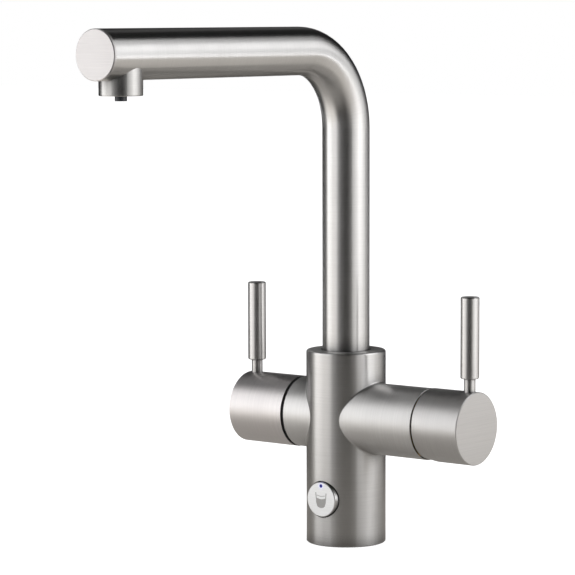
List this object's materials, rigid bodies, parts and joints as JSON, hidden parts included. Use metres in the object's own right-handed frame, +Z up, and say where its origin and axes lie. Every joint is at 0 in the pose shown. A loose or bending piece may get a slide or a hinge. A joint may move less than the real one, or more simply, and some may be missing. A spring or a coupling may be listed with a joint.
{
  "type": "three way filtered water tap",
  "caption": "Brushed steel kitchen mixer tap with an L-shaped swivel spout, a single lever mixer, a separate filtered water lever and a lit push button.",
  "frame": {"origin": "centre of the column's foot, on the worktop's top face", "axes": "+Z up along the column, spout towards -Y, mixer arm towards +X, filtered water arm towards -X"},
  "size_m": [0.1775, 0.2583, 0.3242],
  "materials": {
    "brushed_steel": "satin",
    "plain_steel": "satin",
    "brass": "satin",
    "black_rubber": "matte",
    "dark_plastic": "matte",
    "pale_plastic": "matte",
    "ceramic": "polished",
    "blue_light": "gloss"
  },
  "bodies": {
    "tap_body": {"body_shell": "brushed_steel", "base_seal_ring": "black_rubber", "fixing_plate": "brass", "cable_grommet": "black_rubber", "spout_bush": "dark_plastic", "spout_thrust_washer": "pale_plastic", "spout_stop_screw": "plain_steel", "mixer_port_seals": "black_rubber", "mixer_base_plate": "pale_plastic", "mixer_fixed_disc": "ceramic", "mixer_housing": "pale_plastic", "mixer_retaining_nut": "brass", "filter_seat_washer": "black_rubber", "filter_fixed_disc": "ceramic", "filter_valve_housing": "brass", "filter_slip_ring": "dark_plastic", "button_housing": "dark_plastic", "button_switch": "dark_plastic", "status_light": "blue_light", "button_dome": "black_rubber"},
    "spout": {"spout_tube": "brushed_steel", "spout_end_cap": "brushed_steel", "spout_foot": "brass", "spout_o_rings": "black_rubber", "outlet_socket": "brushed_steel", "aerator_shell": "brushed_steel", "aerator_grid": "dark_plastic", "aerator_core": "pale_plastic", "filtered_nozzle": "dark_plastic", "filtered_inner_tube": "pale_plastic"},
    "filter_handle": {"left_knob": "brushed_steel", "left_lever": "brushed_steel", "filter_spindle": "brass", "filter_moving_disc": "ceramic", "spline_adapter": "pale_plastic", "left_grub_screw": "plain_steel"},
    "mixer_carrier": {"mixer_carrier": "pale_plastic", "mixer_pivot_pin": "plain_steel"},
    "mixer_disc": {"mixer_disc_holder": "pale_plastic", "mixer_moving_disc": "ceramic"},
    "mixer_handle": {"right_knob": "brushed_steel", "right_lever": "brushed_steel", "mixer_stem": "plain_steel", "right_grub_screw": "plain_steel"},
    "button": {"button_cap": "brushed_steel", "light_lens": "blue_light", "switch_plunger": "pale_plastic"}
  },
  "joints": [
    {"name": "spout_swivel", "type": "hinge", "parent": "tap_body", "child": "spout", "pos_m": [0, 0, 0.103], "axis": [0, 0, 1], "range_deg": [-75, 75]},
    {"name": "filter_turn", "type": "hinge", "parent": "tap_body", "child": "filter_handle", "pos_m": [-0.0571, 0, 0.08], "axis": [1, 0, 0], "range_deg": [0, 90]},
    {"name": "mixer_swivel", "type": "hinge", "parent": "tap_body", "child": "mixer_carrier", "pos_m": [0.0746, 0, 0.08], "axis": [1, 0, 0], "range_deg": [-45, 45]},
    {"name": "mixer_tilt", "type": "hinge", "parent": "mixer_carrier", "child": "mixer_handle", "pos_m": [0.0746, 0, 0.08], "axis": [0, 1, 0], "range_deg": [0, 18]},
    {"name": "mixer_disc_slide", "type": "slide", "parent": "mixer_carrier", "child": "mixer_disc", "axis": [0, 0, 1], "range_m": [0, 0.00686]},
    {"name": "button_press", "type": "slide", "parent": "tap_body", "child": "button", "axis": [0, 1, 0], "range_m": [0, 0.0008], "stiffness_N_per_m": 600, "springref_m": -0.002, "deforming": ["button_dome"]}
  ],
  "couplings": [
    {"joint": "mixer_disc_slide", "follows": "mixer_tilt", "m_per_rad": 0.0218}
  ]
}
